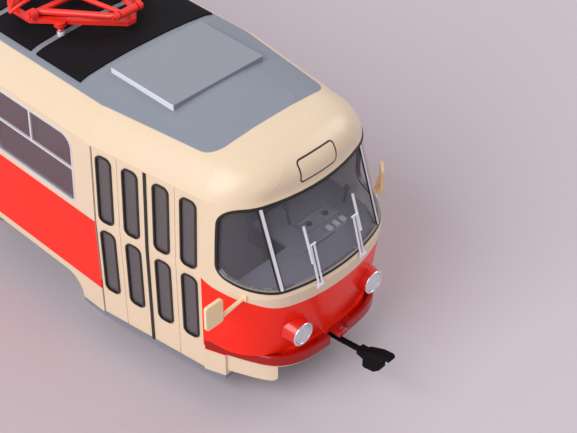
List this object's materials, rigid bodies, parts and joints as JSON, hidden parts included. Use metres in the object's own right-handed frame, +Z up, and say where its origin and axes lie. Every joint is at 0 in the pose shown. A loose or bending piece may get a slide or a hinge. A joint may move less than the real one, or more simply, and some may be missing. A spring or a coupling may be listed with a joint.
{
  "type": "model tram",
  "caption": "Display model of a four-axle single-ended tram with folding doors, rounded windscreens, swivelling bogies, hooked couplers and a diamond pantograph that raises",
  "frame": {"origin": "on the floor under the middle of the car", "axes": "+X towards the cab end, +Y to the car's left, +Z up"},
  "size_m": [0.3568, 0.0642, 0.0788],
  "materials": {
    "body_paint": "gloss paint, cream with red and grey zones",
    "door_paint": "gloss",
    "black_rubber": "matt",
    "window_glass": "clear, lightly smoked",
    "bright_trim": "satin",
    "grey_paint": "satin",
    "bumper_paint": "gloss",
    "lamp_red": "gloss",
    "clear_lens": "clear, ribbed",
    "red_lens": "gloss",
    "black_mat": "matt",
    "roof_grey": "satin",
    "insulator_white": "gloss",
    "pantograph_red": "satin",
    "black_plastic": "satin",
    "interior_grey": "matt",
    "console_grey": "matt",
    "interior_cream": "matt",
    "seat_red": "satin",
    "seat_dark": "matt",
    "cream_plastic": "satin",
    "wheel_metal": "turned metal"
  },
  "bodies": {
    "car": {"body_shell": "body_paint", "door_front": "door_paint", "door_middle": "door_paint", "door_rear": "door_paint", "door_seams": "black_rubber", "door_frames": "black_rubber", "glass_doors": "window_glass", "glass_right": "window_glass", "glass_left": "window_glass", "frames_right": "bright_trim", "frames_left": "bright_trim", "glass_windscreen": "window_glass", "glass_rear": "window_glass", "seal_front": "black_rubber", "seal_rear": "black_rubber", "pillars_front": "bright_trim", "pillars_rear": "bright_trim", "sill_rails": "grey_paint", "bumper_front": "bumper_paint", "bumper_rear": "bumper_paint", "lamp_housings": "lamp_red", "headlamps": "clear_lens", "tail_lamps": "red_lens", "roof_mats": "black_mat", "roof_hatch": "roof_grey", "insulators": "insulator_white", "panto_base": "pantograph_red", "chassis": "black_plastic", "interior_tray": "interior_grey", "cab_console": "console_grey", "cab_partition": "interior_cream", "seats": "seat_red", "driver_seat": "seat_dark", "mirror_right": "cream_plastic", "mirror_left": "cream_plastic", "wipers": "bright_trim"},
    "bogie_front": {"bogie_front": "black_plastic"},
    "bogie_rear": {"bogie_rear": "black_plastic"},
    "wheelset_1": {"wheelset_1": "wheel_metal"},
    "wheelset_2": {"wheelset_2": "wheel_metal"},
    "wheelset_3": {"wheelset_3": "wheel_metal"},
    "wheelset_4": {"wheelset_4": "wheel_metal"},
    "panto_lower_front": {"panto_lower_front": "pantograph_red"},
    "panto_upper_front": {"panto_upper_front": "pantograph_red"},
    "panto_lower_rear": {"panto_lower_rear": "pantograph_red"},
    "panto_upper_rear": {"panto_upper_rear": "pantograph_red"},
    "panto_head": {"panto_head": "pantograph_red"},
    "coupler_front": {"coupler_front": "black_plastic"},
    "coupler_rear": {"coupler_rear": "black_plastic"}
  },
  "joints": [
    {"name": "bogie_front_swivel", "type": "hinge", "parent": "car", "child": "bogie_front", "pos_m": [0.0744, 0, 0.0173], "axis": [0, 0, 1], "range_deg": [-8, 8]},
    {"name": "bogie_rear_swivel", "type": "hinge", "parent": "car", "child": "bogie_rear", "pos_m": [-0.0744, 0, 0.0173], "axis": [0, 0, 1], "range_deg": [-8, 8]},
    {"name": "wheelset_1_spin", "type": "hinge", "parent": "bogie_front", "child": "wheelset_1", "pos_m": [0.0965, 0, 0.00814], "axis": [0, 1, 0], "continuous": true},
    {"name": "wheelset_2_spin", "type": "hinge", "parent": "bogie_front", "child": "wheelset_2", "pos_m": [0.0523, 0, 0.00814], "axis": [0, 1, 0], "continuous": true},
    {"name": "wheelset_3_spin", "type": "hinge", "parent": "bogie_rear", "child": "wheelset_3", "pos_m": [-0.0523, 0, 0.00814], "axis": [0, 1, 0], "continuous": true},
    {"name": "wheelset_4_spin", "type": "hinge", "parent": "bogie_rear", "child": "wheelset_4", "pos_m": [-0.0965, 0, 0.00814], "axis": [0, 1, 0], "continuous": true},
    {"name": "pantograph_raise", "type": "hinge", "parent": "car", "child": "panto_lower_front", "pos_m": [0.0756, 0, 0.0749], "axis": [0, -1, 0], "range_deg": [0, 55]},
    {"name": "panto_knee_front", "type": "hinge", "parent": "panto_lower_front", "child": "panto_upper_front", "pos_m": [0.09158, 0, 0.07579], "axis": [0, 1, 0], "range_deg": [0, 110]},
    {"name": "panto_head_level", "type": "hinge", "parent": "panto_upper_front", "child": "panto_head", "pos_m": [0.0756, 0, 0.07669], "axis": [0, -1, 0], "range_deg": [0, 55]},
    {"name": "panto_foot_rear", "type": "hinge", "parent": "car", "child": "panto_lower_rear", "pos_m": [0.0684, 0, 0.0749], "axis": [0, 1, 0], "range_deg": [0, 55]},
    {"name": "panto_knee_rear", "type": "hinge", "parent": "panto_lower_rear", "child": "panto_upper_rear", "pos_m": [0.05242, 0, 0.07579], "axis": [0, -1, 0], "range_deg": [0, 110]},
    {"name": "coupler_front_swivel", "type": "hinge", "parent": "car", "child": "coupler_front", "pos_m": [0.151, 0, 0.0146], "axis": [0, 0, 1], "range_deg": [-8, 8]},
    {"name": "coupler_rear_swivel", "type": "hinge", "parent": "car", "child": "coupler_rear", "pos_m": [-0.151, 0, 0.0146], "axis": [0, 0, 1], "range_deg": [-8, 8]}
  ],
  "couplings": [
    {"joint": "panto_knee_front", "follows": "pantograph_raise", "ratio": 2},
    {"joint": "panto_head_level", "follows": "pantograph_raise", "ratio": 1},
    {"joint": "panto_foot_rear", "follows": "pantograph_raise", "ratio": 1},
    {"joint": "panto_knee_rear", "follows": "pantograph_raise", "ratio": 2}
  ]
}
